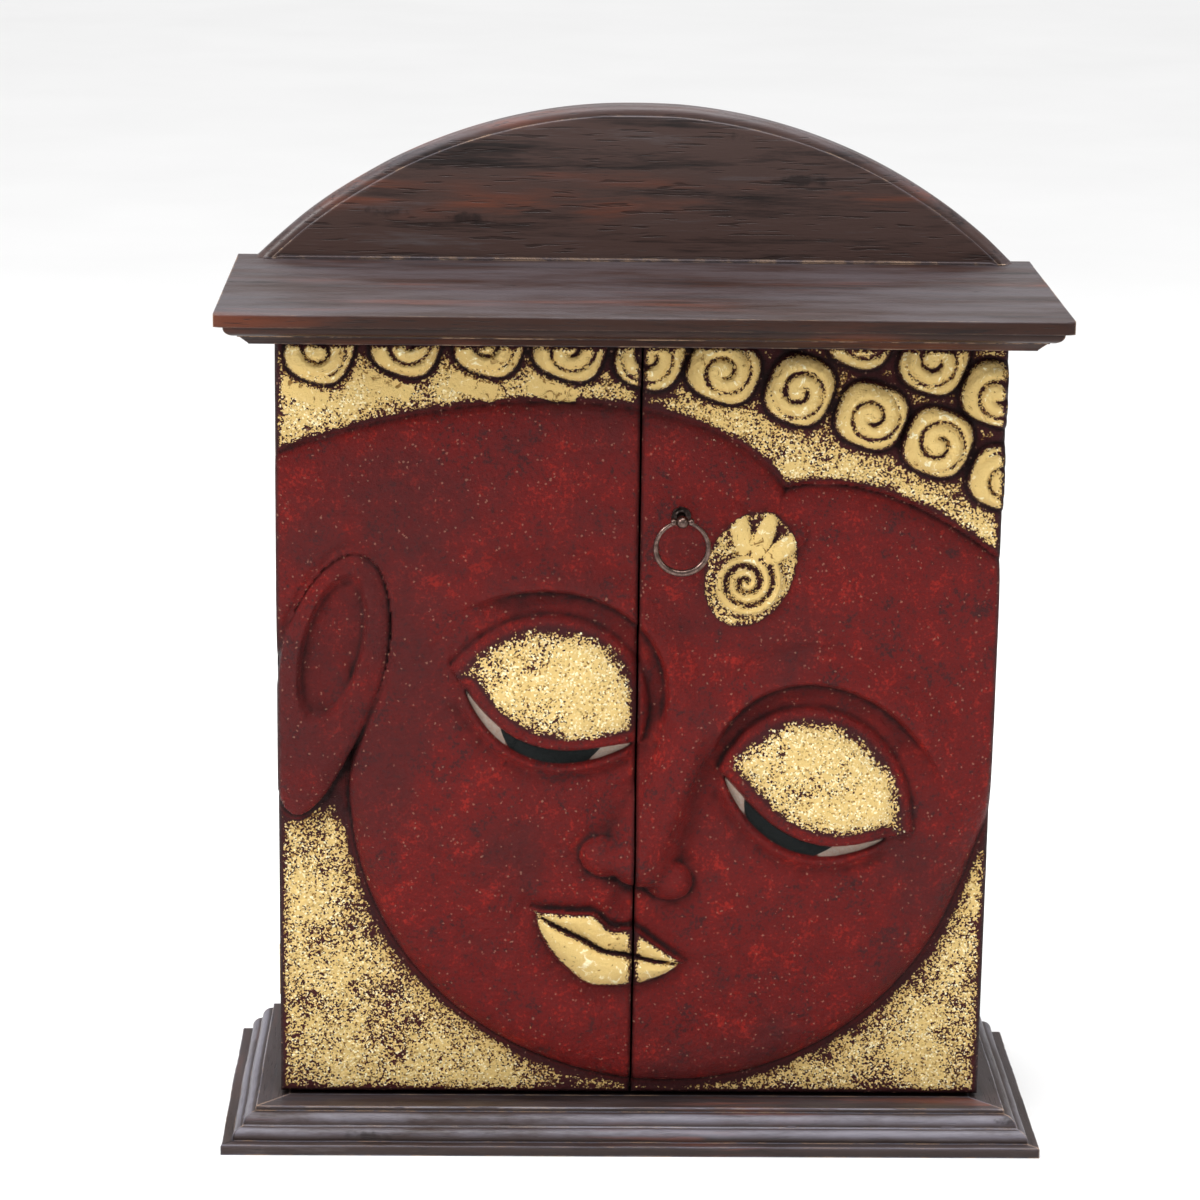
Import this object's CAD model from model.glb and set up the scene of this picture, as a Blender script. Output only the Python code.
import math
import bpy
import numpy as np
from mathutils import Matrix, Vector


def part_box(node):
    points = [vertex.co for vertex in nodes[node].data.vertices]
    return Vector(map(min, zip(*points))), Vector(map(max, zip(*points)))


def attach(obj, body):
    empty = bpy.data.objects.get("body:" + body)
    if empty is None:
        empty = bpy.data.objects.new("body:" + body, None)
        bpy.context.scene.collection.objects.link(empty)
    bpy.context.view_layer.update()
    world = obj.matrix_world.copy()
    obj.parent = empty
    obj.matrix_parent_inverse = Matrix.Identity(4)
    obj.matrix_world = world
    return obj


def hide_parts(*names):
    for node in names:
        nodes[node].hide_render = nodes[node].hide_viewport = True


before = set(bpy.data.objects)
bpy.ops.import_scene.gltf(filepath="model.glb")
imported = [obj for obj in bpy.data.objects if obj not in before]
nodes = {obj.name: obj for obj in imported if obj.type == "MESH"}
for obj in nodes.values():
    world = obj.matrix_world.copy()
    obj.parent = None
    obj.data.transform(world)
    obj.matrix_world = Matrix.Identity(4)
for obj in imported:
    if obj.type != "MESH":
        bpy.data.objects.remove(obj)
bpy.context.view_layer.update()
mm = 0.001
print("frame loaded:", len(nodes), "CAD nodes")


# shader building blocks: each returns an output socket, and takes sockets or plain values

class Shader:
    def __init__(self, name, **fixed):
        self.material = bpy.data.materials.new(name)
        self.material.use_nodes = True
        self.tree = self.material.node_tree
        self.tree.nodes.clear()
        output = self.tree.nodes.new("ShaderNodeOutputMaterial")
        self.surface = self.tree.nodes.new("ShaderNodeBsdfPrincipled")
        self.tree.links.new(self.surface.outputs[0], output.inputs["Surface"])
        for socket, value in fixed.items():
            self.surface.inputs[socket.replace("_", " ")].default_value = value
        self.place = self.add("ShaderNodeTexCoord").outputs["Object"]

    def add(self, kind, plugs=None, **settings):
        node = self.tree.nodes.new(kind)
        for setting, value in settings.items():
            setattr(node, setting, value)
        for socket, value in (plugs or {}).items():
            self.plug(node.inputs[socket], value)
        return node

    def plug(self, socket, value):
        if isinstance(value, bpy.types.NodeSocket):
            self.tree.links.new(value, socket)
        else:
            socket.default_value = value

    def set(self, socket, value):
        self.plug(self.surface.inputs[socket], value)

    def math(self, operation, a, b=0.0, clamp=False):
        return self.add("ShaderNodeMath", {0: a, 1: b}, operation=operation, use_clamp=clamp).outputs[0]

    def stretched(self, scale, turn=(0, 0, 0)):
        return self.add("ShaderNodeMapping", {"Vector": self.place, "Scale": scale, "Rotation": turn}).outputs[0]

    def noise(self, scale, detail=4.0, roughness=0.55, where=None, distortion=0.0):
        plugs = {"Vector": where or self.place, "Scale": scale, "Detail": detail,
                 "Roughness": roughness, "Distortion": distortion}
        return self.add("ShaderNodeTexNoise", plugs).outputs["Fac"]

    def spots(self, scale, where=None, feature="F1"):
        plugs = {"Vector": where or self.place, "Scale": scale}
        return self.add("ShaderNodeTexVoronoi", plugs, feature=feature).outputs["Distance"]

    def between(self, value, low, high, smooth=True):
        plugs = {"Value": value, "From Min": low, "From Max": high}
        kind = "SMOOTHSTEP" if smooth else "LINEAR"
        return self.add("ShaderNodeMapRange", plugs, interpolation_type=kind).outputs["Result"]

    def remap(self, value, low, high, newLow, newHigh):
        plugs = {"Value": value, "From Min": low, "From Max": high, "To Min": newLow, "To Max": newHigh}
        return self.add("ShaderNodeMapRange", plugs).outputs["Result"]

    def ramp(self, value, stops):
        node = self.add("ShaderNodeValToRGB", {"Fac": value})
        elements = node.color_ramp.elements
        while len(elements) < len(stops):
            elements.new(0.5)
        for element, (position, colour) in zip(elements, stops):
            element.position = position
            element.color = (*colour, 1)
        return node.outputs["Color"]

    def mix(self, share, first, second, blend="MIX"):
        node = self.add("ShaderNodeMix", data_type="RGBA", blend_type=blend)
        for socket, value in ((node.inputs[0], share), (node.inputs[6], first), (node.inputs[7], second)):
            self.plug(socket, (*value, 1) if isinstance(value, tuple) and len(value) == 3 else value)
        return node.outputs[2]

    def blend(self, share, first, second):
        node = self.add("ShaderNodeMix", {0: share, 2: first, 3: second}, data_type="FLOAT")
        return node.outputs[0]

    def field(self, name):
        return self.add("ShaderNodeAttribute", attribute_name=name).outputs["Fac"]

    def bump(self, height, distance, under=None, strength=1.0):
        plugs = {"Height": height, "Distance": distance, "Strength": strength}
        if under:
            plugs["Normal"] = under
        return self.add("ShaderNodeBump", plugs).outputs["Normal"]

    def wornEdges(self, radius):
        # 0 on flat stretches, up to 1 where the surface turns within the radius
        rounded = self.add("ShaderNodeBevel", {"Radius": radius}, samples=6).outputs[0]
        true = self.add("ShaderNodeNewGeometry").outputs["Normal"]
        dot = self.add("ShaderNodeVectorMath", {0: rounded, 1: true}, operation="DOT_PRODUCT").outputs["Value"]
        return self.math("SUBTRACT", 1.0, dot, clamp=True)

    def crevices(self, reach):
        # 1 in the open, towards 0 deep in a groove
        return self.add("ShaderNodeAmbientOcclusion", {"Distance": reach}, samples=8).outputs["AO"]


# materials

darkWoodLook = {
    "deep": (0.013, 0.0075, 0.0068), "body": (0.056, 0.031, 0.026), "grey": (0.076, 0.058, 0.058),
    "warm": (0.160, 0.042, 0.019), "dust": (0.125, 0.114, 0.130), "worn": (0.34, 0.22, 0.14),
    "grainWidth": 85, "grainStretch": 0.07, "warmth": 0.85, "dustiness": 0.4, "levelDust": 1.0, "polish": 0.42,
    "gloss": 0.30}


def makeDarkWood(name, along, look=darkWoodLook):
    wood = Shader(name, Specular_IOR_Level=look["gloss"])
    wood.surface.inputs["Coat Weight"].default_value = 0.06
    wood.surface.inputs["Coat Roughness"].default_value = 0.30
    fibre = wood.stretched(tuple(look["grainStretch"] if axis == along else 1.0 for axis in "xyz"))
    drift = wood.stretched(tuple(0.22 if axis == along else 1.0 for axis in "xyz"))
    broad = wood.noise(look["grainWidth"], 6, 0.66, where=fibre, distortion=0.4)
    fine = wood.noise(look["grainWidth"] * 12, 3, 0.6, where=fibre)
    pores = wood.between(wood.noise(look["grainWidth"] * 9, 1, where=fibre), 0.62, 0.70)
    figure = wood.math("ADD", wood.math("MULTIPLY", broad, 0.8), wood.math("MULTIPLY", fine, 0.2))
    colour = wood.ramp(figure, [(0.36, look["deep"]), (0.48, look["body"]), (0.56, look["body"]), (0.66, look["grey"])])
    streak = wood.math("MULTIPLY", wood.between(wood.noise(26, 3, 0.6, where=drift), 0.50, 0.68),
                       wood.between(broad, 0.44, 0.60))
    colour = wood.mix(wood.math("MULTIPLY", streak, look["warmth"]), colour, look["warm"])
    colour = wood.mix(wood.math("MULTIPLY", pores, 0.6), colour, look["deep"])
    facing = wood.add("ShaderNodeTexCoord").outputs["Normal"]
    up = wood.add("ShaderNodeSeparateXYZ", {0: facing}).outputs["Z"]
    level = wood.remap(up, 0.93, 0.99, 1.0, look["levelDust"])
    settled = wood.math("MULTIPLY", wood.math("MULTIPLY", wood.between(up, 0.0, 0.7), level),
                        wood.between(wood.noise(40, 6, 0.7, where=drift), 0.30, 0.66))
    colour = wood.mix(wood.math("MULTIPLY", settled, look["dustiness"]), colour, look["dust"])
    colour = wood.mix(wood.between(wood.crevices(0.006), 0.30, 0.95), look["deep"], colour)
    knots = wood.math("ADD", wood.spots(40, where=drift), wood.remap(wood.noise(160, 3), 0.3, 0.7, -0.05, 0.05))
    colour = wood.mix(wood.math("MULTIPLY", wood.between(knots, 0.15, 0.06), 0.85), colour, look["deep"])
    edge = wood.wornEdges(0.0012)
    polished = wood.math("MULTIPLY", wood.between(edge, 0.01, 0.12), look["polish"])
    colour = wood.mix(polished, colour, look["dust"])
    rubbed = wood.math("MULTIPLY", wood.between(edge, 0.02, 0.12), wood.between(wood.noise(60, 6, 0.72), 0.46, 0.60))
    colour = wood.mix(wood.math("MULTIPLY", rubbed, 0.85), colour, look["worn"])
    wood.set("Base Color", colour)
    wood.set("Roughness", wood.remap(wood.noise(90, 5, 0.7, where=fibre), 0.3, 0.7, 0.30, 0.52))
    relief = wood.math("SUBTRACT", figure, wood.math("MULTIPLY", pores, 0.5))
    wood.set("Normal", wood.bump(relief, 0.0005, strength=0.6))
    return wood.material


doorLook = {
    "red": (0.125, 0.0075, 0.0068), "brightRed": (0.29, 0.0150, 0.0095), "plum": (0.052, 0.0100, 0.0105),
    "black": (0.0085, 0.0040, 0.0042), "fleck": (0.42, 0.22, 0.15), "under": (0.034, 0.0080, 0.0092),
    "gold": (0.76, 0.55, 0.215), "paleGold": (1.0, 0.93, 0.64), "oldGold": (0.28, 0.150, 0.042),
    "white": (0.46, 0.39, 0.33), "ink": (0.0125, 0.0150, 0.0150), "grain": 1250, "creaseSize": 190}


def makeLacquerAndLeaf(name, look=doorLook):
    skin = Shader(name, Specular_IOR_Level=0.13)
    cover, hollow = skin.field("leafCover"), skin.field("hollow")
    # lacquer: clouds of bright red in plum, rubbed through to black in the hollows
    cloud = skin.noise(70, 7, 0.70, distortion=0.4)
    grit = skin.noise(600, 3, 0.65)
    depth = skin.math("ADD", skin.math("MULTIPLY", cloud, 0.55), skin.math("MULTIPLY", grit, 0.45))
    lacquer = skin.ramp(depth, [(0.40, look["plum"]), (0.47, look["red"]), (0.54, look["red"]), (0.64, look["brightRed"])])
    lacquer = skin.mix(skin.math("MULTIPLY", skin.between(skin.noise(13, 4, 0.6), 0.46, 0.66), 0.6), lacquer, look["plum"])
    lacquer = skin.mix(skin.math("MULTIPLY", skin.between(cover, 0.05, 0.30), 0.85), lacquer, look["under"])
    shadow = skin.between(skin.math("ADD", hollow, skin.math("MULTIPLY", skin.math("SUBTRACT", grit, 0.5), 0.9)), 0.14, 1.00)
    lacquer = skin.mix(skin.math("MULTIPLY", shadow, 0.92), lacquer, look["black"])
    # leaf: grains of gold, each kept or lost, thicker in patches
    cells = skin.add("ShaderNodeTexVoronoi", {"Vector": skin.place, "Scale": look["grain"]})
    loose = skin.add("ShaderNodeSeparateColor", {0: cells.outputs["Color"]})
    patch = skin.remap(skin.noise(40, 8, 0.74), 0.34, 0.66, 0.0, 1.0)
    chance = skin.math("ADD", skin.math("MULTIPLY", loose.outputs["Red"], 0.52), skin.math("MULTIPLY", patch, 0.48))
    kept = skin.math("SUBTRACT", cover, skin.math("MULTIPLY", skin.math("MAXIMUM", hollow, 0.0), 0.45))
    leaf = skin.between(skin.math("SUBTRACT", kept, chance), -0.02, 0.03)
    creases = skin.noise(look["creaseSize"], 6, 0.66, distortion=1.0)
    solid = skin.between(cover, 0.75, 0.92)
    sparkle = skin.blend(solid, loose.outputs["Green"], skin.remap(creases, 0.34, 0.66, 0.0, 1.0))
    sparkle = skin.math("SUBTRACT", sparkle, skin.math("MULTIPLY", hollow, 0.9))
    gold = skin.ramp(sparkle, [(0.0, look["oldGold"]), (0.16, look["gold"]), (0.74, look["gold"]), (0.98, look["paleGold"])])
    flecks = skin.math("MULTIPLY", skin.between(loose.outputs["Blue"], 0.984, 0.995), 0.40)
    colour = skin.mix(flecks, lacquer, look["fleck"])
    colour = skin.mix(leaf, colour, gold)
    white = skin.between(skin.field("eyeWhite"), -0.25, 0.25)
    ink = skin.between(skin.field("eyeInk"), -0.25, 0.25)
    chalk = skin.mix(skin.remap(skin.noise(700, 4, 0.7), 0.35, 0.65, 0.0, 0.5), look["white"], look["fleck"])
    colour = skin.mix(white, colour, chalk)
    colour = skin.mix(ink, colour, look["ink"])
    painted = skin.math("MAXIMUM", white, ink)
    metal = skin.math("MULTIPLY", leaf, skin.math("SUBTRACT", 1.0, painted))
    skin.set("Base Color", colour)
    skin.set("Metallic", skin.math("MULTIPLY", metal, 0.70))
    glossy = skin.remap(skin.noise(300, 4, 0.7), 0.3, 0.7, 0.28, 0.48)
    skin.set("Roughness", skin.blend(metal, glossy, skin.remap(creases, 0.3, 0.7, 0.46, 0.32)))
    rough = skin.bump(skin.noise(340, 6, 0.76), 0.0024, strength=0.75)
    edge = skin.bump(leaf, 0.00016, under=rough, strength=0.7)
    skin.set("Normal", skin.bump(creases, 0.0016, under=edge, strength=0.6))
    return skin.material


def makeInnerWood(name, along):
    look = {"deep": (0.045, 0.020, 0.012), "body": (0.125, 0.060, 0.034), "grey": (0.17, 0.095, 0.058),
            "warm": (0.25, 0.105, 0.050), "dust": (0.24, 0.18, 0.13), "worn": (0.34, 0.21, 0.13),
            "grainWidth": 48, "grainStretch": 0.05, "warmth": 0.6, "dustiness": 0.15, "levelDust": 1.0,
            "polish": 0.4, "gloss": 0.3}
    return makeDarkWood(name, along, look)


def makeDowelWood():
    look = {"deep": (0.18, 0.10, 0.055), "body": (0.40, 0.26, 0.14), "grey": (0.45, 0.31, 0.18),
            "warm": (0.52, 0.33, 0.17), "dust": (0.5, 0.4, 0.3), "worn": (0.6, 0.45, 0.3),
            "grainWidth": 220, "grainStretch": 0.06, "warmth": 0.5, "dustiness": 0.1, "levelDust": 1.0,
            "polish": 0.4, "gloss": 0.3}
    return makeDarkWood("turnedDowelWood", "z", look)


def makeMetal(name, bright, dull, roughness, metallic=1.0, scale=300):
    metal = Shader(name, Metallic=metallic)
    tarnish = metal.noise(scale, 6, 0.7)
    worn = metal.between(metal.wornEdges(0.0005), 0.02, 0.2)
    colour = metal.ramp(tarnish, [(0.36, dull), (0.64, bright)])
    metal.set("Base Color", metal.mix(metal.math("MULTIPLY", worn, 0.6), colour, bright))
    metal.set("Roughness", metal.remap(tarnish, 0.3, 0.7, roughness + 0.15, roughness))
    metal.set("Normal", metal.bump(metal.noise(scale * 4, 3), 0.00012, strength=0.5))
    return metal.material


def makePlastic(name, colour):
    plastic = Shader(name, Specular_IOR_Level=0.45)
    cloud = plastic.noise(220, 4)
    plastic.set("Base Color", plastic.mix(plastic.remap(cloud, 0.3, 0.7, 0.0, 0.35), colour, (0.02, 0.012, 0.008)))
    plastic.set("Roughness", plastic.remap(plastic.noise(600, 3), 0.3, 0.7, 0.35, 0.55))
    plastic.set("Normal", plastic.bump(plastic.noise(1500, 2), 0.0001, strength=0.5))
    return plastic.material


woodAlongX = makeDarkWood("darkWoodAlongX", "x")
corniceLook = {**darkWoodLook, "body": (0.031, 0.0130, 0.0090), "grey": (0.046, 0.026, 0.022),
               "warm": (0.130, 0.033, 0.014), "warmth": 0.65, "dustiness": 0.43, "polish": 0.25, "gloss": 0.15, "grainWidth": 120}
corniceAlongX = makeDarkWood("darkCorniceWoodAlongX", "x", corniceLook)
corniceAlongY = makeDarkWood("darkCorniceWoodAlongY", "y", corniceLook)
baseLook = {**darkWoodLook, "body": (0.034, 0.019, 0.016), "dust": (0.185, 0.175, 0.210), "dustiness": 0.9,
            "levelDust": 0.15, "polish": 0.75, "grainWidth": 120}
baseAlongX = makeDarkWood("darkBaseWoodAlongX", "x", baseLook)
baseAlongY = makeDarkWood("darkBaseWoodAlongY", "y", baseLook)
woodAlongZ = makeDarkWood("darkWoodAlongZ", "z")
innerAlongX = makeInnerWood("innerWoodAlongX", "x")
innerAlongY = makeInnerWood("innerWoodAlongY", "y")
lacquerAndLeaf = makeLacquerAndLeaf("lacquerAndGoldLeaf")
dowelWood = makeDowelWood()
agedBrass = makeMetal("agedBrass", (0.52, 0.36, 0.15), (0.16, 0.095, 0.04), 0.32)
agedIron = makeMetal("agedBronzeIron", (0.215, 0.145, 0.122), (0.060, 0.038, 0.032), 0.22)
darkIron = makeMetal("darkBronzeIron", (0.050, 0.036, 0.032), (0.012, 0.009, 0.008), 0.24)
zincSteel = makeMetal("zincSteel", (0.55, 0.54, 0.50), (0.22, 0.20, 0.18), 0.30)
magnetSteel = makeMetal("magnetGrey", (0.10, 0.10, 0.105), (0.03, 0.03, 0.032), 0.45, metallic=0.6)
brownPlastic = makePlastic("brownPlastic", (0.085, 0.042, 0.022))
print("materials made")


# mesh building blocks, all in millimetres in the row frame until they become a mesh

def boxOf(*names):
    corners = [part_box(name) for name in names]
    low = np.min([np.array(c[0]) for c in corners], axis=0) / mm
    high = np.max([np.array(c[1]) for c in corners], axis=0) / mm
    return low, high


def waves(points, size, seed, count=14):
    # smooth seeded noise from -1 to 1 with features about that size
    random = np.random.default_rng(seed)
    directions = random.normal(size=(count, 3))
    directions *= (2 * math.pi / size) * random.uniform(0.5, 1.3, (count, 1)) / np.linalg.norm(directions, axis=1)[:, None]
    phases = random.uniform(0, 2 * math.pi, count)
    return np.sin(points @ directions.T + phases).sum(axis=1) / math.sqrt(count) / 1.5


def addPiece(name, points, faces, material, body, stands=(), smooth=True):
    mesh = bpy.data.meshes.new(name)
    mesh.from_pydata([tuple(p) for p in np.asarray(points) * mm], [], [tuple(int(i) for i in f) for f in faces])
    mesh.validate()
    mesh.update()
    piece = bpy.data.objects.new(name, mesh)
    bpy.context.scene.collection.objects.link(piece)
    mesh.materials.append(material)
    mesh.polygons.foreach_set("use_smooth", [smooth] * len(mesh.polygons))
    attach(piece, body)
    if stands:
        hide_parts(*stands)
    return piece


def sharpEdges(piece, degrees):
    bpy.context.view_layer.objects.active = piece
    piece.data.set_sharp_from_angle(angle=math.radians(degrees))


def stitchRings(ringCount, ringSize, closedRings=True, loop=False):
    faces = []
    for ring in range(ringCount if loop else ringCount - 1):
        start, following = ring * ringSize, (ring + 1) % ringCount * ringSize
        for i in range(ringSize if closedRings else ringSize - 1):
            j = (i + 1) % ringSize
            faces.append((start + i, start + j, following + j, following + i))
    return faces


def arcPoints(centre, radii, start, end, steps=8):
    angles = np.radians(np.linspace(start, end, steps + 1))
    return [(centre[0] + radii[0] * math.cos(a), centre[1] + radii[1] * math.sin(a)) for a in angles]


def finer(outline, step):
    # a closed outline with points no further apart than the step
    points = []
    for a, b in zip(outline, outline[1:] + outline[:1]):
        count = max(1, math.ceil(math.dist(a, b) / step))
        points += [(a[0] + (b[0] - a[0]) * i / count, a[1] + (b[1] - a[1]) * i / count) for i in range(count)]
    return points


# the three mitred strips of a moulding, swept from one profile of (inwards, upwards) points

def makeMoulding(label, profile, low, high, waver, seed, woods, nodesOf):
    halfWidth = high[0]
    front, back = low[1], high[1]
    profile = np.array(finer(profile, 1.6))
    inward, upward = profile[:, 0], profile[:, 1]
    step = 2.2
    for side in ("front", "left", "right"):
        length = 2 * halfWidth if side == "front" else back - front
        rings = int(length / step)
        points = []
        for ring in range(rings + 1):
            share = ring / rings
            if side == "front":
                x = (2 * share - 1) * (halfWidth - inward)
                y = front + inward
            else:
                sign = -1 if side == "left" else 1
                x = sign * (halfWidth - inward)
                y = front + inward + share * (back - front - inward)
            points.append(np.stack([x, y + 0 * inward, low[2] + upward], axis=1))
        points = np.concatenate(points)
        # hand-planed: the outer faces waver a little, the resting faces stay flat
        outer = np.tile((upward > 0.3) & (upward < upward.max() - 0.3) & (inward < inward.max() - 1), rings + 1)
        shift = waver * waves(points * (1, 1, 1.5), 45, seed) + 0.35 * waver * waves(points, 9, seed + 1)
        direction = np.tile([0, 1, 0], (len(points), 1)) if side == "front" else np.tile([1, 0, 0], (len(points), 1))
        sign = {"front": 1, "left": 1, "right": -1}[side]
        points = points + direction * (sign * np.maximum(shift + 0.4 * waver, 0) * outer)[:, None]
        size = len(profile)
        faces = stitchRings(rings + 1, size)
        faces.append(tuple(range(size)))
        faces.append(tuple(range(rings * size, (rings + 1) * size))[::-1])
        if side == "left":
            faces = [face[::-1] for face in faces]
        piece = addPiece(f"{label}{side.capitalize()}", points, faces, woods[side != "front"], "cabinet",
                         [f"{nodesOf}_{side}"])
        sharpEdges(piece, 38)


baseMoulding = {"worn": 0.7, "lip": 5.0, "ledge": 5.0, "riser": 1.2, "lowerBead": 4.5, "upperBead": 5.0, "step": 0.5}


def makeBase(size=baseMoulding):
    low, high = boxOf("base_moulding_front", "base_moulding_left", "base_moulding_right")
    height = high[2] - low[2]
    width = high[0] - boxOf("base_board")[1][0]
    lowerZ = size["lip"] + size["riser"]
    upperZ = lowerZ + size["lowerBead"] + size["step"]
    upperIn = size["ledge"] + size["lowerBead"] + size["step"] + size["upperBead"]
    fillet = upperIn + 0.6
    profile = [(0, 0), (0, size["lip"] - size["worn"]), (size["worn"] * 0.3, size["lip"] - size["worn"] * 0.3),
               (size["worn"], size["lip"]), (size["ledge"], size["lip"])]
    profile += arcPoints((size["ledge"] + size["lowerBead"], lowerZ), (size["lowerBead"],) * 2, 180, 90)
    profile += arcPoints((upperIn, upperZ), (size["upperBead"],) * 2, 180, 90)
    profile += [(fillet, upperZ + size["upperBead"]), (fillet, height - 0.5), (fillet + 0.5, height),
                (width, height), (width, 0)]
    makeMoulding("baseMoulding", profile, low, high, 0.28, 11, (baseAlongX, baseAlongY), "base_moulding")


corniceMoulding = {"underLip": 4.0, "ovoloWidth": 6.0, "ovoloHeight": 4.6, "riser": 0.6, "step": 0.8, "slope": 3.9}


def makeCornice(size=corniceMoulding):
    low, high = boxOf("cornice_moulding_front", "cornice_moulding_left", "cornice_moulding_right")
    outer = boxOf("cornice_board")
    low[0:2], high[0] = outer[0][0:2], outer[1][0]
    height = high[2] - low[2]
    width = high[0] - boxOf("cornice_core")[1][0]
    top = height - size["riser"]
    stepZ = top - size["ovoloHeight"] - size["riser"]
    slopeIn = size["underLip"] + size["ovoloWidth"] + size["step"]
    profile = [(width, 0), (slopeIn + size["slope"], 0), (slopeIn + size["slope"], size["riser"] / 2),
               (slopeIn, stepZ), (size["underLip"] + size["ovoloWidth"], stepZ)]
    profile += arcPoints((size["underLip"] + size["ovoloWidth"], top), (size["ovoloWidth"], size["ovoloHeight"]), 270, 180)
    profile += [(size["underLip"], height), (width, height)]
    makeMoulding("corniceMoulding", profile, low, high, 0.18, 23, (corniceAlongX, corniceAlongY), "cornice_moulding")


corniceShelf = {"topRound": 1.1, "bottomRound": 0.7, "cornerRound": 1.6, "waver": 0.35}


def makeCorniceBoard(size=corniceShelf):
    low, high = boxOf("cornice_board")
    front, back, bottom, top = low[1], high[1], low[2], high[2]
    t, b = size["topRound"], size["bottomRound"]
    section = arcPoints((front + t, top - t), (t, t), 180, 90, 5) + [(back, top), (back, bottom)]
    section += arcPoints((front + b, bottom + b), (b, b), 270, 180, 4)
    section = np.array(finer(section, 3.0))
    step = 2.5
    rings = int((high[0] - low[0]) / step)
    points = []
    for ring in range(rings + 1):
        x = low[0] + (high[0] - low[0]) * ring / rings
        points.append(np.column_stack([np.full(len(section), x), section]))
    points = np.concatenate(points)
    # the front edge wavers, and its two corners are rubbed round
    nearFront = np.clip(1 - (points[:, 1] - front) / 12, 0, 1)
    waver = size["waver"] * (waves(points, 60, 5) + 0.5 * waves(points, 14, 6))
    corner = np.clip(1 - (high[0] - np.abs(points[:, 0])) / (3 * size["cornerRound"]), 0, 1) ** 2 * size["cornerRound"]
    points[:, 1] += nearFront * (np.maximum(waver + 0.5 * size["waver"], 0) + corner)
    lifted = (points[:, 2] > top - 0.1) & (points[:, 1] < boxOf("crest_board")[0][1] - 2)
    points[:, 2] -= lifted * np.maximum(0.18 * waves(points, 70, 8) + 0.1, 0)
    count = len(section)
    faces = stitchRings(rings + 1, count)
    faces += [tuple(range(count)), tuple(range(rings * count, (rings + 1) * count))[::-1]]
    piece = addPiece("corniceShelfBoard", points, faces, corniceAlongX, "cabinet", ["cornice_board"])
    sharpEdges(piece, 38)


crestShape = {"round": 4.6, "step": 0.7, "waver": 0.3, "foot": 1.3, "footDepth": 0.8}


def makeCrest(size=crestShape):
    low, high = boxOf("crest_board")
    half, rise = (high[0] - low[0]) / 2, high[2] - low[2]
    radius = (half ** 2 + rise ** 2) / (2 * rise)
    centreZ = high[2] - radius
    thick = high[1] - low[1]
    limit = math.degrees(math.asin(half / radius))
    r, step = size["round"], size["step"]
    # (inwards from the arc, depth behind the front face), from the back edge round to the flat front
    rim = [(r + 0.02, thick), (1.0, thick), (0.3, thick - 0.3), (0.0, thick - 1.0)]
    rim += [(r - r * math.sin(math.radians(a)), step + r - r * math.cos(math.radians(a))) for a in range(90, -1, -10)]
    rim += [(r + 0.35, step), (r + 0.6, step * 0.4), (r + 1.1, 0.0)]
    columns = 220
    rows = 26
    points = []
    for column in range(columns + 1):
        angle = math.radians(limit * (2 * column / columns - 1))
        waver = size["waver"] * waves(np.array([[radius * angle, 0, 0]]), 50, 31)[0]
        ring = []
        for inward, depth in rim:
            reach = radius - inward + min(waver, 0)
            ring.append([reach * math.sin(angle), low[1] + depth, centreZ + reach * math.cos(angle)])
        innermost = ring[-1]
        for row in range(1, rows + 1):
            share = row / rows
            ring.append([innermost[0], low[1], innermost[2] + (low[2] - innermost[2]) * share])
        # a thin worn ridge along the foot of the front
        foot = min(size["foot"], 0.5 * (innermost[2] - low[2]))
        ring[-1:] = [[innermost[0], low[1], low[2] + foot],
                     [innermost[0], low[1] - size["footDepth"], low[2] + 0.7 * foot],
                     [innermost[0], low[1] - size["footDepth"], low[2]]]
        ring.append([ring[0][0], high[1], low[2]])
        points += ring
    points = np.array(points)
    points[:, 2] = np.maximum(points[:, 2], low[2])
    front = np.abs(points[:, 1] - low[1]) < 0.01
    points[:, 1] += front * np.maximum(0.12 * waves(points, 55, 32) + 0.06 * waves(points, 12, 33) + 0.08, 0)
    faces = stitchRings(columns + 1, len(rim) + rows + 3)
    piece = addPiece("crestArch", points, faces, woodAlongX, "cabinet", ["crest_board"])
    sharpEdges(piece, 40)


makeBase()
makeCornice()
makeCorniceBoard()
makeCrest()
print("mouldings, cornice shelf and crest made")


# the carving, worked out over both closed doors on one grid of (x, z) places

faceCarving = {
    "chin": (-36, 37.0), "tilt": 20.0, "length": 300, "drawnLength": 309, "rise": 6.5, "crown": 4.0, "edgeRound": 13,
    "hairBand": 3.6, "headSide": 2.4, "doorThickness": 12}
curlRows = {"first": -12, "spacing": 36, "baseLine": 1.155, "nextRow": 34.2, "radius": 16.4, "rise": 7.2, "turns": 8.0, "bow": 1000}


def smoothStep(low, high, value):
    share = np.clip((value - low) / (high - low), 0, 1)
    return share * share * (3 - 2 * share)


def bell(distance, width):
    return np.exp(-(distance / width) ** 2)


def mound(u, v, centre, radii, power=0.5):
    return np.clip(1 - ((u - centre[0]) / radii[0]) ** 2 - ((v - centre[1]) / radii[1]) ** 2, 0, None) ** power


def bezier(a, b, c, d, steps=26):
    t = np.linspace(0, 1, steps)[:, None]
    a, b, c, d = (np.array(p, float) for p in (a, b, c, d))
    return (1 - t) ** 3 * a + 3 * (1 - t) ** 2 * t * b + 3 * (1 - t) * t ** 2 * c + t ** 3 * d


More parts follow.
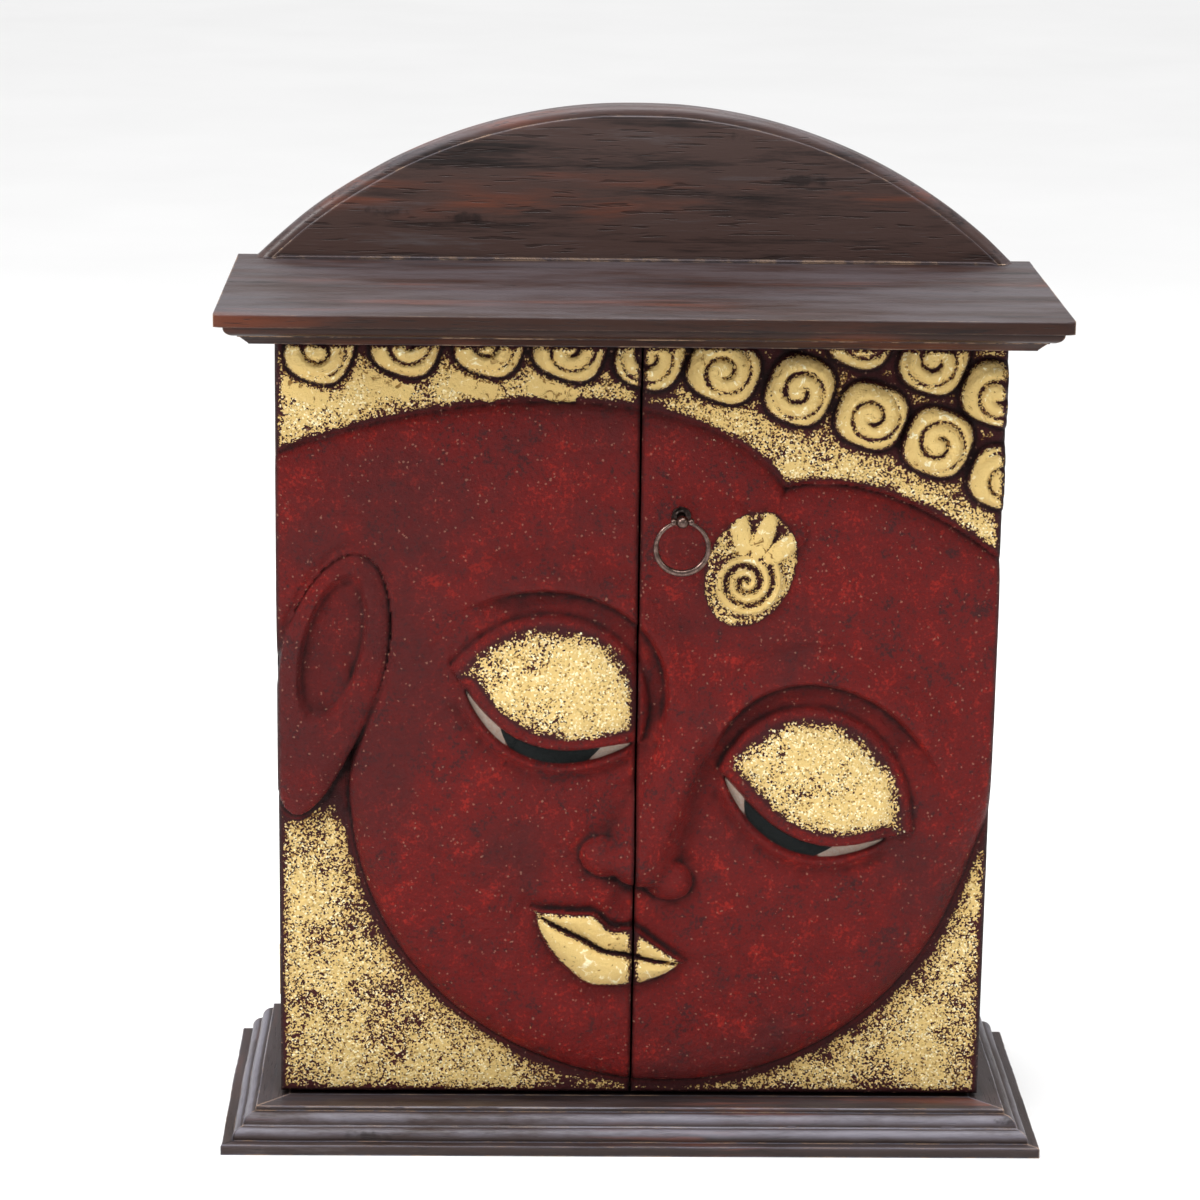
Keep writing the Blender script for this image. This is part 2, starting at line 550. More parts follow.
def toLine(u, v, line):
    # distance to a line, share of its length there, and which side: +1 is left of its direction
    best = np.full(u.shape, 1e9)
    along, side = np.zeros(u.shape), np.ones(u.shape)
    for i, (a, b) in enumerate(zip(line[:-1], line[1:])):
        du, dv = b - a
        t = np.clip(((u - a[0]) * du + (v - a[1]) * dv) / (du * du + dv * dv), 0, 1)
        away = np.hypot(u - a[0] - t * du, v - a[1] - t * dv)
        nearer = away < best
        best = np.where(nearer, away, best)
        along = np.where(nearer, (i + t) / (len(line) - 1), along)
        side = np.where(nearer, np.sign(du * (v - a[1]) - dv * (u - a[0])), side)
    return best, along, side


def toEdge(level, spacing):
    # turns an inside-is-positive level into millimetres from its zero line
    slopeZ, slopeX = np.gradient(level, spacing)
    return level / np.maximum(np.hypot(slopeX, slopeZ), 1e-4)


def softened(values, reach):
    # Gaussian blur over that many grid cells
    cells = np.arange(-int(3 * reach), int(3 * reach) + 1)
    kernel = np.exp(-(cells / reach) ** 2 / 2)
    kernel /= kernel.sum()
    pad = len(cells) // 2
    for axis in (0, 1):
        wide = np.pad(values, [(pad, pad) if axis == i else (0, 0) for i in (0, 1)], mode="edge")
        values = np.apply_along_axis(lambda row: np.convolve(row, kernel, "valid"), axis, wide)
    return values


def smoothMax(a, b, soft):
    return 0.5 * (a + b + np.sqrt((a - b) ** 2 + soft ** 2) - soft)


eyeCarving = {
    "brow": ((12, 176), (13, 240), (92, 250), (134, 190)), "crease": ((20, 170), (20, 226), (96, 236), (118, 176)),
    "lash": ((24, 168), (46, 157), (70, 138), (108, 166)), "lidRise": 4.2, "eyeball": (63, 172, 44, 36, 3.4),
    "socket": 4.2, "slit": 7.0, "iris": (63, 168, 27)}


def carveEyes(u, v, height, leaf, size=eyeCarving):
    white, ink = np.full(u.shape, -9.0), np.full(u.shape, -9.0)
    for side in (-1, 1):
        across = side * u
        away, along, way = toLine(across, v, bezier(*size["brow"]))
        above = away * way
        taper = smoothStep(1.0, 0.75, along)
        height += taper * 2.7 * np.where(above > 0, bell(above, 8.0), bell(above, 1.7)) * smoothStep(0, 0.08, along)
        height -= taper * 1.1 * bell(above - 15, 4.0) * smoothStep(0.10, 0.3, along)
        below = np.clip(-above, 0, None)
        reach = smoothStep(140, 100, across) * smoothStep(7, 18, across) * smoothStep(112, 140, v)
        height -= np.where(above < 0, size["socket"] * (1 - np.exp(-below / 2.0)) * np.exp(-below / 40), 0) * reach * taper
        # the lid lies between the lash line and the crease, with a slit and a lower lid under it
        gap, share, way = toLine(across, v, bezier(*size["lash"]))
        over = gap * way
        reachUp, _, under = toLine(across, v, bezier(*size["crease"]))
        lid = np.minimum(over, -reachUp * under)
        height += size["lidRise"] * np.clip(lid / 14, 0, 1) ** 0.55 * (lid > 0)
        ballU, ballV, ballWide, ballTall, ballRise = size["eyeball"]
        height += ballRise * mound(across, v, (ballU, ballV), (ballWide, ballTall), 0.7) * (lid > 0)
        height -= 0.9 * bell(lid + 1.0, 1.6) * (over > 0)
        within = smoothStep(0.0, 0.04, share) * smoothStep(1.0, 0.96, share)
        height += 1.1 * within * bell(over - 2.0, 1.5)
        thickness = size["slit"] * np.sin(math.pi * np.clip(share, 0, 1)) ** 0.7 + 0.5
        inSlit = np.where(within > 0, np.minimum(-over, thickness + over), -9.0)
        height -= 1.7 * smoothStep(-0.8, 0.8, inSlit)
        height += 1.9 * within * bell(over + thickness + 2.2, 2.4)
        height -= 1.1 * within * bell(over + thickness + 8.0, 3.2)
        iris = size["iris"][2] - np.hypot(across - size["iris"][0], v - size["iris"][1])
        ink = np.maximum(ink, np.minimum(inSlit - 0.3, iris))
        white = np.maximum(white, np.minimum(inSlit - 0.3, -iris))
        leaf[:] = np.maximum(leaf, 0.74 * smoothStep(2.5, 9.0, over) * smoothStep(0.0, 13.0, lid))
    return white, ink


noseCarving = {"top": 204, "base": 102, "rise": 10.5, "tip": (0, 114, 16, 13), "wing": (15.5, 110.5, 13.0, 10.5)}


def carveNose(u, v, height, size=noseCarving):
    across = np.abs(u)
    share = np.clip((size["top"] - v) / (size["top"] - 112), 0, 1)
    flat, slope = 2.6 + 2.2 * share, 8.0 + 7.5 * share ** 1.4
    fall = np.clip((across - flat) / slope, 0, 1)
    ridge = (2.0 + (size["rise"] - 2.0) * share ** 0.9) * (1 - fall ** 1.7)
    ridge *= smoothStep(size["top"] + 8, size["top"] - 12, v) * smoothStep(size["base"], size["base"] + 7, v)
    tipU, tipV, tipWide, tipTall = size["tip"]
    tip = (size["rise"] + 1.6) * mound(across, v, (tipU, tipV), (tipWide, tipTall), 0.45)
    wingU, wingV, wingWide, wingTall = size["wing"]
    wing = 7.0 * mound(across, v, (wingU, wingV), (wingWide, wingTall), 0.45)
    height += smoothMax(smoothMax(ridge, tip, 2.5), wing, 1.6)
    height -= 2.0 * bell(np.hypot((across - 9.5) / 1.7, (v - 102.5) / 0.9), 3.0)
    height -= 0.8 * bell(np.hypot(across - wingU, v - wingV) - 14.5, 3.0) * smoothStep(wingU, wingU + 6, across)
    height -= 1.0 * bell(v - size["base"] + 3, 2.6) * bell(across, 20)


mouthCarving = {"line": 67, "half": 41.0, "upper": 16.0, "lower": 19.0, "upperRise": 4.6, "lowerRise": 5.6}


def carveMouth(u, v, height, leaf, size=mouthCarving):
    across = np.abs(u)
    half = size["half"]
    part = np.clip(across / half, 0, 1)
    line = size["line"] + 5.5 * part ** 2.2 - 1.8 * bell(across, 8)
    upper = line + size["upper"] * (1 - part ** 1.5) - 3.4 * bell(across, 6.5) + 1.0 * bell(across - 11, 6)
    lower = line - size["lower"] * np.clip(1 - (across / 37) ** 2.1, 0, None) ** 0.75
    upShare = np.clip((v - line) / np.maximum(upper - line, 0.5), 0, 1)
    downShare = np.clip((line - v) / np.maximum(line - lower, 0.5), 0, 1)
    onUpper = (v >= line) & (v <= upper) & (across < half)
    onLower = (v < line) & (v >= lower) & (across < half)
    full = np.sqrt(np.clip(1 - part ** 2.4, 0, 1))
    height += np.where(onUpper, size["upperRise"] * np.sin(math.pi * (1 - upShare) ** 0.7) ** 0.55 * full, 0)
    height += np.where(onLower, size["lowerRise"] * np.sin(math.pi * downShare ** 0.7) ** 0.5 * full, 0)
    height -= 1.0 * bell(v - upper - 1.6, 2.0) * (across < half)
    height -= 2.0 * bell(v - lower + 5, 5) * bell(across, 24)
    height -= 1.3 * bell(np.hypot(across - half - 2, v - size["line"] - 6), 5)
    groove = smoothStep(83, 88, v) * smoothStep(103, 98, v)
    height += (0.9 * bell(across - 8, 3.2) - 1.1 * bell(across, 4.2)) * groove
    edge = np.minimum(np.where(onUpper, np.minimum(upper - v, v - line + 1), 0), 4) + \
        np.minimum(np.where(onLower, np.minimum(v - lower, line - v + 1), 0), 4)
    leaf[:] = np.maximum(leaf, 0.93 * smoothStep(0.0, 3.0, edge))


earCarving = {"centre": (-171, 150), "lean": 6, "wide": 26, "tall": 60, "lobe": 74, "rise": 5.4}


def carveEar(u, v, height, leaf, size=earCarving):
    lean = math.radians(size["lean"])
    du, dv = u - size["centre"][0], v - size["centre"][1]
    eu = du * math.cos(lean) + dv * math.sin(lean)
    ev = dv * math.cos(lean) - du * math.sin(lean)
    wide = size["wide"] * (0.80 + 0.20 * smoothStep(-55, 25, ev))
    ring = np.hypot(eu / wide, ev / np.where(ev > 0, size["tall"], size["lobe"]))
    bowl = np.hypot((eu + 2) / (size["wide"] * 0.56), (ev - 12) / (size["tall"] * 0.62))
    shape = size["rise"] + 3.4 * np.clip(1 - ring ** 5, 0, None) ** 0.5
    shape -= 3.6 * smoothStep(1.06, 0.84, bowl)
    shape += 1.5 * mound(eu, ev, (4, -6), (7, 13), 0.8)
    height[:] = np.where(ring < 1, np.maximum(shape, 0), height)
    height -= 1.5 * bell((ring - 1.04) * size["wide"], 2.0) * (ring >= 1)
    leaf[:] = np.where(ring < 1.06, 0.02, leaf)


def carveOrnament(u, v, height, leaf):
    # a plain spiral bud with three short petals over it
    cu, cv = u + 2, v - 262
    turn, away = np.arctan2(cv, cu), np.hypot(cu, cv)
    pad = mound(u, v, (-2, 268), (21, 29), 0.4)
    height += 2.6 * np.clip(pad, 0, 1)
    winding = (away / 6.2 - turn / (2 * math.pi)) % 1
    coil = bell((winding - 0.5) * 6.2, 1.7) * smoothStep(19, 16, away)
    petals = np.zeros(u.shape)
    for lean in (-0.55, 0.0, 0.55):
        root = (-2 + 9 * lean, 274)
        pu = (u - root[0]) * math.cos(lean) - (v - root[1]) * math.sin(lean)
        pv = (u - root[0]) * math.sin(lean) + (v - root[1]) * math.cos(lean)
        petals = np.maximum(petals, mound(pu, pv, (0, 12), (5.2, 14), 0.5))
    raised = np.maximum(coil, petals)
    height += 2.3 * raised
    leaf[:] = np.maximum(leaf, 0.95 * np.clip(raised * 1.5, 0, 1) * (pad > 0))
    leaf[:] = np.maximum(leaf, 0.55 * (pad > 0.2))


def carveCurls(u, v, height, leaf, isHair, size=curlRows):
    length = faceCarving["drawnLength"]
    for row in (0, 1, 2):
        for i in range(-8, 6):
            cu = size["first"] + (i + 0.5 * row) * size["spacing"]
            cv = length * size["baseLine"] + row * size["nextRow"] - (cu - 20) ** 2 / size["bow"]
            jitter = np.random.default_rng(100 + row * 40 + i).uniform(-1, 1, 4)
            du, dv = u - cu - 1.2 * jitter[0], v - cv - 1.2 * jitter[1]
            away = np.hypot(du, dv)
            if away.min() > size["radius"] * 1.5:
                continue
            wide, tall = size["radius"] * (1 + 0.05 * jitter[3]), size["radius"] * (0.97 - 0.05 * jitter[3])
            squarish = (np.abs(du) / wide) ** 2.8 + (np.abs(dv) / tall) ** 2.8
            rise = np.clip(1 - squarish, 0, None) ** 0.42
            turn = np.arctan2(dv, du) * (1 if (i + row) % 2 else -1) + jitter[2]
            winding = (away / size["turns"] - turn / (2 * math.pi)) % 1
            groove = bell((winding - 0.5) * size["turns"], 1.3) * smoothStep(1.5, 3.2, away)
            groove *= smoothStep(size["radius"] * 0.95, size["radius"] * 0.8, away)
            shape = faceCarving["hairBand"] - 0.8 + size["rise"] * rise - 2.1 * groove * rise
            inside = squarish < 1
            height[:] = np.where(inside, np.maximum(shape, height - 2), height)
            leaf[:] = np.where(inside, 0.38 + 0.64 * smoothStep(0.20, 0.72, rise) - 0.50 * groove, leaf)
            if row == 0 and cu < -90:  # a square of solid leaf below each curl over the temple
                patch = smoothStep(13, 10.5, np.abs(du)) * smoothStep(-29, -26, dv) * smoothStep(-14, -17, dv) * isHair
                leaf[:] = np.maximum(leaf, 1.0 * patch)
            rim = (squarish >= 1) & (squarish < 1.7)
            height[:] = np.where(rim, height - 0.7 * bell(squarish - 1.1, 0.25), height)
            leaf[:] = np.where(rim, np.minimum(leaf, 0.50), leaf)


def carveDoors(x, z, spacing, size=faceCarving):
    tilt = math.radians(size["tilt"])
    dx, dz = x - size["chin"][0], z - size["chin"][1]
    # every shape below is drawn on a face of the drawn length
    scale = size["drawnLength"] / size["length"]
    u = scale * (dx * math.cos(tilt) - dz * math.sin(tilt))
    v = scale * (dx * math.sin(tilt) + dz * math.cos(tilt))
    across = np.abs(u)
    # outline of the face: full cheeks, a rounded chin and a wide forehead under the hairline
    middle, halfWidth = 152, 152
    tall = np.where(v > middle, 330, middle)
    power = np.where(v > middle, 2.3, 2.05)
    spread = halfWidth + np.where(u < 0, 90 * smoothStep(118, 178, v), 0)  # the temple runs on behind the ear
    outline = 1 - ((across / spread) ** power + (np.abs(v - middle) / tall) ** power) ** (1 / power)
    hairline = 309 + 21 * (1 - np.exp(-across / 30)) - 85 * (across / 226) ** 2.2
    toOutline = toEdge(outline, spacing)
    toHair = (hairline - v) * 0.93
    inFace = np.minimum(toOutline, toHair)
    isHair = toHair < 0
    headSide = smoothStep(80, 100, v) * (u < 0) * ~isHair
    outside = np.where(isHair, size["hairBand"], headSide * size["headSide"])
    ramp = np.sqrt(1 - (1 - np.clip(inFace / size["edgeRound"], 0, 1)) ** 2)
    crown = size["crown"] * np.clip(inFace / 100, 0, 1) ** 0.8
    height = outside * (1 - ramp) + (size["rise"] + crown) * ramp
    height -= 0.9 * bell(inFace + 0.8, 1.5)
    leaf = np.where(isHair, 0.58, 0.52 * (1 - headSide))
    leaf = leaf * smoothStep(-0.5, -5.5, inFace) + 0.10 * np.exp(-np.clip(inFace, 0, None) / 9)
    face = np.clip(ramp, 0, 1)
    features = np.zeros(x.shape)
    white, ink = carveEyes(u, v, features, leaf)
    carveNose(u, v, features)
    carveMouth(u, v, features, leaf)
    features += 3.2 * bell(np.hypot(u / 1.25, v - 25), 19)
    features += 2.6 * bell(np.hypot(across - 74, (v - 118) / 1.05), 40)
    carveOrnament(u, v, features, leaf)
    height += features * face
    carveEar(u, v, height, leaf)
    carveCurls(u, v, height, leaf, isHair)
    return height, leaf, white, ink


def carvedGrid():
    # one grid over both doors, with everything the doors' surface needs
    lowLeft, _ = boxOf("door_left")
    _, highRight = boxOf("door_right")
    spacing = 0.8
    xs = np.arange(lowLeft[0], highRight[0] + spacing, spacing)
    zs = np.arange(lowLeft[2], highRight[2] + spacing, spacing)
    x, z = np.meshgrid(xs, zs)
    height, leaf, white, ink = carveDoors(x, z, spacing)
    # flat seat for the pull's rosette
    rosetteLow, rosetteHigh = boxOf("pull_rosette")
    seatHeight = boxOf("door_left")[1][1] - faceCarving["doorThickness"] - rosetteHigh[1]
    pull = np.hypot(x - (rosetteLow[0] + rosetteHigh[0]) / 2, z - (rosetteLow[2] + rosetteHigh[2]) / 2)
    seat = smoothStep(9.0, 5.2, pull)
    flat = np.stack([x.ravel(), 0 * x.ravel(), z.ravel()], axis=1)
    surface = 0.20 * waves(flat, 11, 41).reshape(x.shape) + 0.16 * waves(flat, 5.5, 42, 24).reshape(x.shape)
    surface += 0.08 * waves(flat, 3.0, 43, 30).reshape(x.shape)
    height = np.maximum(height + surface, 0.0)
    height = height * (1 - seat) + seatHeight * seat
    hollow = np.clip((softened(height, 2.6 / spacing) - height) / 1.5, -1, 1)
    hollow = np.maximum(hollow, np.clip((softened(height, 7.0 / spacing) - height) / 4.6, -1, 1))
    # the leaf thins out towards the doors' outer edges and the gap
    rim = np.minimum(np.minimum(x - xs[0], highRight[0] - x), np.minimum(z - zs[0], highRight[2] - z))
    rim = np.minimum(rim, np.abs(x))
    leaf = leaf * (0.55 + 0.45 * smoothStep(0.0, 6.0, rim))
    hollow = np.maximum(hollow, 0.7 * smoothStep(3.0, 0.5, rim))
    return {"xs": xs, "zs": zs, "height": height, "leafCover": leaf, "hollow": hollow, "eyeWhite": white, "eyeInk": ink}


def sample(grid, name, x, z):
    values = grid[name]
    spacing = grid["xs"][1] - grid["xs"][0]
    column = np.clip((x - grid["xs"][0]) / spacing, 0, values.shape[1] - 1.001)
    row = np.clip((z - grid["zs"][0]) / spacing, 0, values.shape[0] - 1.001)
    i, j = row.astype(int), column.astype(int)
    fi, fj = row - i, column - j
    top = values[i, j] * (1 - fj) + values[i, j + 1] * fj
    bottom = values[i + 1, j] * (1 - fj) + values[i + 1, j + 1] * fj
    return top * (1 - fi) + bottom * fi


def makeCutter(points, faces):
    mesh = bpy.data.meshes.new("doorCutter")
    mesh.from_pydata([tuple(p) for p in np.asarray(points) * mm], [], faces)
    cutter = bpy.data.objects.new("doorCutter", mesh)
    bpy.context.scene.collection.objects.link(cutter)
    return cutter


def boxCutter(low, high):
    (x0, y0, z0), (x1, y1, z1) = low, high
    points = [(x, y, z) for z in (z0, z1) for y in (y0, y1) for x in (x0, x1)]
    return makeCutter(points, [(0, 2, 3, 1), (4, 5, 7, 6), (0, 1, 5, 4), (2, 6, 7, 3), (0, 4, 6, 2), (1, 3, 7, 5)])


def roundCutter(x, y, z0, z1, radius, sides=24):
    ring = [(x + radius * math.cos(a), y + radius * math.sin(a)) for a in np.linspace(0, 2 * math.pi, sides, False)]
    points = [(a, b, z0) for a, b in ring] + [(a, b, z1) for a, b in ring]
    faces = [tuple(range(sides))[::-1], tuple(range(sides, 2 * sides))]
    faces += [(i, (i + 1) % sides, sides + (i + 1) % sides, sides + i) for i in range(sides)]
    return makeCutter(points, faces)


def cutAway(piece, cutters):
    for cutter in cutters:
        cut = piece.modifiers.new("cut", "BOOLEAN")
        cut.operation = "DIFFERENCE"
        cut.solver = "MANIFOLD"
        cut.object = cutter
    bpy.context.view_layer.update()
    cutMesh = bpy.data.meshes.new_from_object(piece.evaluated_get(bpy.context.evaluated_depsgraph_get()))
    piece.modifiers.clear()
    piece.data = cutMesh
    for cutter in cutters:
        bpy.data.objects.remove(cutter)


doorBuild = {"arris": 1.3, "hingeLeafWidth": 10.8, "leafDepth": 1.0, "knuckleRoom": 2.3, "backCorner": 1.5}


def makeDoor(side, grid, size=doorBuild):
    low, high = boxOf(f"door_{side}")
    spacing = grid["xs"][1] - grid["xs"][0]
    columns = int((high[0] - low[0]) / spacing) + 1
    rows = int((high[2] - low[2]) / spacing) + 1
    xs, zs = np.linspace(low[0], high[0], columns), np.linspace(low[2], high[2], rows)
    x, z = (a.ravel() for a in np.meshgrid(xs, zs))
    height = sample(grid, "height", x, z)
    edge = np.minimum(np.minimum(x - low[0], high[0] - x), np.minimum(z - low[2], high[2] - z))
    height = height - size["arris"] * np.clip(1 - edge / 2.4, 0, 1) ** 2
    doorFront = high[1] - faceCarving["doorThickness"]
    front = np.stack([x, doorFront - height, z], axis=1)
    border = [j for j in range(columns)] + [i * columns + columns - 1 for i in range(1, rows)]
    border += [(rows - 1) * columns + j for j in range(columns - 2, -1, -1)] + [i * columns for i in range(rows - 2, 0, -1)]
    rearStart = len(front)
    rear = front[border].copy()
    rear[:, 1] = high[1]
    points = np.concatenate([front, rear])
    faces = [(i * columns + j, i * columns + j + 1, (i + 1) * columns + j + 1, (i + 1) * columns + j)
             for i in range(rows - 1) for j in range(columns - 1)]
    count = len(border)
    faces += [(border[k], rearStart + k, rearStart + (k + 1) % count, border[(k + 1) % count]) for k in range(count)]
    faces.append(tuple(rearStart + k for k in range(count))[::-1])
    piece = addPiece(f"carvedDoor{side.capitalize()}", points, faces, lacquerAndLeaf, f"{side}_door",
                     [f"door_{side}"])
    piece.data.materials.append(woodAlongZ)
    sign = -1 if side == "left" else 1
    leafLow, leafHigh = boxOf(f"hinge_door_leaves_{side}")
    pinLow, pinHigh = boxOf("hinge_pins")
    hingeHeight = 25.0
    pinX = sign * (abs(pinHigh[0]) - 1.0)
    pinY = (pinLow[1] + pinHigh[1]) / 2
    knuckle = size["knuckleRoom"]
    cutters = []
    for z0 in (pinLow[2], pinHigh[2] - hingeHeight):
        z1 = z0 + hingeHeight
        cutters.append(roundCutter(pinX, pinY, z0 - 0.3, z1 + 0.3, knuckle))
        reach = sorted((pinX - sign * size["hingeLeafWidth"], pinX))
        cutters.append(boxCutter((reach[0], high[1] - size["leafDepth"] + 0.4, z0 - 0.3), (reach[1], high[1] + 1, z1 + 0.3)))
    outer = sign * abs(low[0] if side == "left" else high[0])
    c = size["backCorner"]
    corner = [(outer - sign * c, high[1] + 0.01), (outer + sign * 2, high[1] - c - 2), (outer + sign * 2, high[1] + 2),
              (outer - sign * c, high[1] + 2)]
    if sign < 0:
        corner = corner[::-1]
    prism = [(a, b, low[2] - 1) for a, b in corner] + [(a, b, high[2] + 1) for a, b in corner]
    cutters.append(makeCutter(prism, [(3, 2, 1, 0), (4, 5, 6, 7), (0, 1, 5, 4), (1, 2, 6, 5), (2, 3, 7, 6), (3, 0, 4, 7)]))
    cutAway(piece, cutters)
    mesh = piece.data
    points = np.empty(len(mesh.vertices) * 3)
    mesh.vertices.foreach_get("co", points)
    points = points.reshape(-1, 3) / mm
    depth = high[1] - points[:, 1]
    onFront = smoothStep(6.0, 10.0, depth)
    for name, rest in (("leafCover", 0.0), ("hollow", 0.5), ("eyeWhite", -9.0), ("eyeInk", -9.0)):
        values = sample(grid, name, points[:, 0], points[:, 2])
        if name == "leafCover":
            sides = smoothStep(faceCarving["doorThickness"] - 0.3, faceCarving["doorThickness"] - 4, depth)
            values = values * (1 - 0.8 * sides)
        values = np.where(onFront > 0, values, rest)
        mesh.attributes.new(name, "FLOAT", "POINT").data.foreach_set("value", values.astype(np.float32))
    centres = np.empty(len(mesh.polygons) * 3)
    mesh.polygons.foreach_get("center", centres)
    facing = np.empty(len(mesh.polygons) * 3)
    mesh.polygons.foreach_get("normal", facing)
    centres, facing = centres.reshape(-1, 3) / mm, facing.reshape(-1, 3)
    isBack = (centres[:, 1] > high[1] - 3) & (facing[:, 1] > 0.6)
    mesh.polygons.foreach_set("material_index", isBack.astype(np.int32))
    mesh.polygons.foreach_set("use_smooth", [True] * len(mesh.polygons))
    sharpEdges(piece, 52)
    mesh.update()
    print(f"{side} door:", len(mesh.vertices), "points")
    return piece


grid = carvedGrid()
print("carving worked out")
for side in ("left", "right"):
    makeDoor(side, grid)


# ring pull

pullShape = {"ballRadius": 2.9, "neck": 1.5, "thinWire": 0.95, "thickWire": 1.55, "ringRadius": 12.0}


def turned(profile, centre, sides=40):
    # spins (y, radius) points round a line along Y through the centre
    angles = np.linspace(0, 2 * math.pi, sides, False)
    points = [(centre[0] + r * math.cos(a), y, centre[2] + r * math.sin(a)) for y, r in profile for a in angles]
    faces = stitchRings(len(profile), sides)
    faces += [tuple(range(sides))[::-1], tuple(range((len(profile) - 1) * sides, len(profile) * sides))]
    return points, faces


def makePull(size=pullShape):
    low, high = boxOf("pull_rosette")
    centre = (low + high) / 2
    outer, front, seat = (high[0] - low[0]) / 2, low[1], high[1]
    deep = seat - front
    profile = [(seat, outer), (seat - deep * 0.35, outer), (seat - deep * 0.6, outer * 0.93),
               (seat - deep * 0.5, outer * 0.82), (seat - deep * 0.45, outer * 0.74), (seat - deep * 0.7, outer * 0.66),
               (front, outer * 0.55), (front, outer * 0.42), (seat - deep * 0.6, outer * 0.37), (seat, outer * 0.36)]
    points, faces = turned(profile, centre)
    addPiece("pullRosette", points, faces, darkIron, "right_door", ["pull_rosette"])
    low, high = boxOf("pull_ring")
    ballY = (low[1] + high[1]) / 2
    wire = []
    halfOpen = math.asin((size["ballRadius"] + 1.3) / size["ringRadius"])
    ringX, ringTop = centre[0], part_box("pull_post")[0][2] / mm + size["ballRadius"]
    middle = (ringX, ballY, ringTop - size["ringRadius"])
    steps = 96
    for i in range(steps + 1):
        angle = math.pi / 2 + halfOpen + (2 * math.pi - 2 * halfOpen) * i / steps
        thickness = size["thinWire"] + (size["thickWire"] - size["thinWire"]) * (0.5 - 0.5 * math.sin(angle)) ** 1.3
        out = (math.cos(angle), math.sin(angle))
        for k in range(16):
            a = 2 * math.pi * k / 16
            reach = size["ringRadius"] + thickness * math.cos(a)
            wire.append((middle[0] + reach * out[0], middle[1] + thickness * math.sin(a), middle[2] + reach * out[1]))
    faces = stitchRings(steps + 1, 16)
    faces += [tuple(range(16))[::-1], tuple(range(steps * 16, (steps + 1) * 16))]
    points = wire
    for sign in (-1, 1):
        # eye on each end, round the ball's cross hole
        start = len(points)
        profile = [(0.3, 0.9), (2.7, 0.95), (3.1, 1.5), (3.6, 1.72), (4.6, 1.72), (5.1, 1.5), (5.3, 0.9)]
        for reach, radius in profile:
            for k in range(20):
                a = 2 * math.pi * k / 20
                points.append((ringX + sign * reach, ballY + radius * math.cos(a), ringTop + radius * math.sin(a)))
        turnFaces = stitchRings(len(profile), 20) + [tuple(range(20))[::-1], tuple(range(120, 140))]
        faces += [tuple(start + i for i in (face if sign < 0 else face[::-1])) for face in turnFaces]
    addPiece("pullRing", points, faces, agedIron, "ring", ["pull_ring"])


makePull()
print("ring pull made")


# CAD nodes that keep their own shape get their finish here

def dress(names, material, bevel=0.0):
    for name in names:
        node = nodes[name]
        node.data.materials.clear()
        node.data.materials.append(material)
        if bevel:
            weld = node.modifiers.new("weld", "WELD")
            weld.merge_threshold = 0.00001
            eased = node.modifiers.new("eased", "BEVEL")
            eased.width = bevel * mm
            eased.segments = 2
            eased.limit_method = "ANGLE"
            eased.angle_limit = math.radians(50)


dress(["base_board", "cornice_core"], woodAlongX)
dress(["side_left", "side_right", "back_panel"], woodAlongZ)
dress(["bottom_panel", "top_panel", "shelf"], innerAlongX, 0.5)
dress(["shelf_cleat_left", "shelf_cleat_right"], innerAlongY, 0.6)
dress(["crest_dowels"], dowelWood)
hingeLeaves = ["hinge_frame_leaves", "hinge_door_leaves_left", "hinge_door_leaves_right", "hinge_pins"]
dress(hingeLeaves, agedBrass)
screws = [name for name in nodes if "screw" in name] + ["back_nails", "pull_nut"]
dress(screws, zincSteel)
dress(["strike_plate_left", "strike_plate_right"], zincSteel)
dress(["pull_post"], agedIron)
dress(["catch_magnets"], magnetSteel)
dress(["catch_cases"], brownPlastic, 0.5)
print("CAD nodes dressed")


# camera, floor and light

cameraSetup = {"place": (-59.2, -1731.7, 710.8), "yaw": 1.41, "pitch": 14.78, "roll": 0.80, "lens": 113.25}


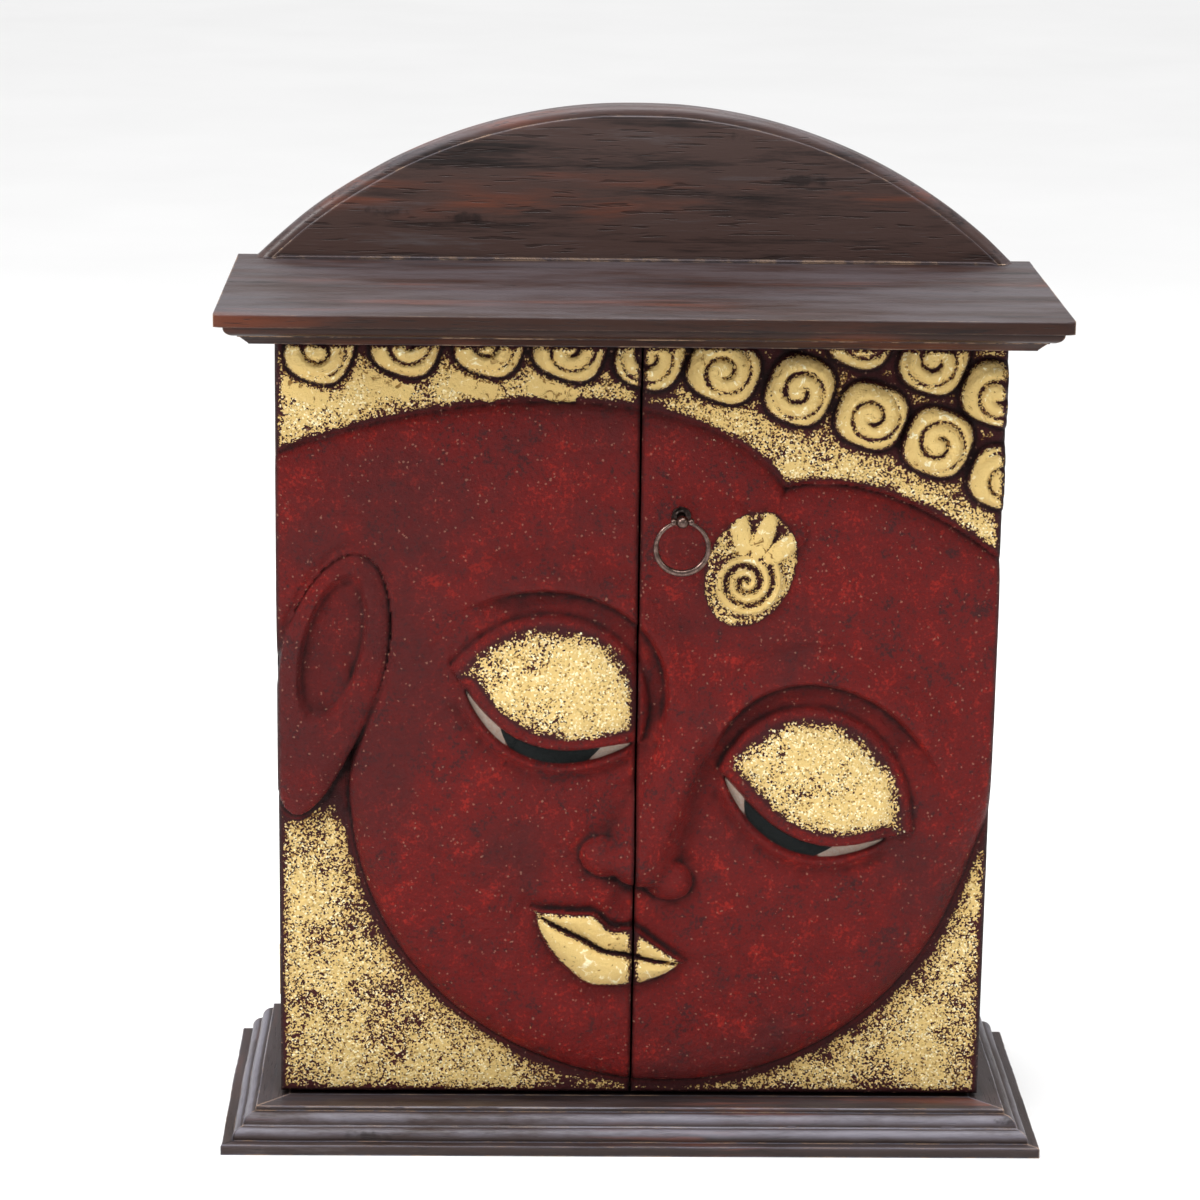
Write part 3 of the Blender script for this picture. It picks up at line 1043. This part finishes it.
def placeCamera(size=cameraSetup):
    yaw, pitch, roll = (math.radians(size[k]) for k in ("yaw", "pitch", "roll"))
    ahead = Vector((math.sin(yaw) * math.cos(pitch), math.cos(yaw) * math.cos(pitch), -math.sin(pitch)))
    right = Vector((math.cos(yaw), -math.sin(yaw), 0))
    up = right.cross(ahead)
    cameraX = right * math.cos(roll) + up * math.sin(roll)
    cameraY = up * math.cos(roll) - right * math.sin(roll)
    data = bpy.data.cameras.new("camera")
    data.lens, data.sensor_width = size["lens"], 36
    camera = bpy.data.objects.new("camera", data)
    bpy.context.scene.collection.objects.link(camera)
    turn = Matrix((cameraX, cameraY, -ahead)).transposed().to_4x4()
    camera.matrix_world = Matrix.Translation(Vector(size["place"]) * mm) @ turn
    bpy.context.scene.camera = camera


def makeFloor():
    floorLook = Shader("palePaper", Roughness=0.8)
    tint = floorLook.noise(3, 3)
    floorLook.set("Base Color", floorLook.mix(floorLook.remap(tint, 0.3, 0.7, 0, 1), (0.86, 0.86, 0.86), (0.89, 0.89, 0.89)))
    bpy.ops.mesh.primitive_plane_add(size=30)
    floor = bpy.context.object
    floor.name = "floor"
    floor.data.materials.append(floorLook.material)


studioLight = {
    "softTop": {"at": (0.1, -0.35, 1.9), "size": (1.3, 0.8), "watts": 17},
    "keyLeft": {"at": (-1.5, -0.95, 1.45), "size": (0.45, 0.6), "watts": 31},
    "fillRight": {"at": (1.7, -1.2, 0.9), "size": (0.7, 0.9), "watts": 6},
    "rimBack": {"at": (0.0, 1.1, 1.3), "size": (1.6, 0.6), "watts": 6}}
roomLight = {"sky": 0.42, "overhead": 1.9, "spread": 60}


def placeLights(lights=studioLight):
    target = Vector((0, 0, 0.22))
    for name, light in lights.items():
        data = bpy.data.lights.new(name, "AREA")
        data.shape = "RECTANGLE"
        data.size, data.size_y = light["size"]
        data.energy = light["watts"]
        lamp = bpy.data.objects.new(name, data)
        lamp.location = light["at"]
        lamp.rotation_euler = (target - lamp.location).to_track_quat("-Z", "Y").to_euler()
        bpy.context.scene.collection.objects.link(lamp)
    world = bpy.data.worlds.new("studio")
    bpy.context.scene.world = world
    world.use_nodes = True
    sky = world.node_tree.nodes["Background"]
    sky.inputs["Color"].default_value = (1.0, 1.0, 1.0, 1)
    sky.inputs["Strength"].default_value = roomLight["sky"]
    overhead = bpy.data.lights.new("overhead", "SUN")
    overhead.energy, overhead.angle = roomLight["overhead"], math.radians(roomLight["spread"])
    bpy.context.scene.collection.objects.link(bpy.data.objects.new("overhead", overhead))


placeCamera()
makeFloor()
placeLights()
bpy.context.scene.view_settings.view_transform = "Standard"
print("camera, floor and light placed")
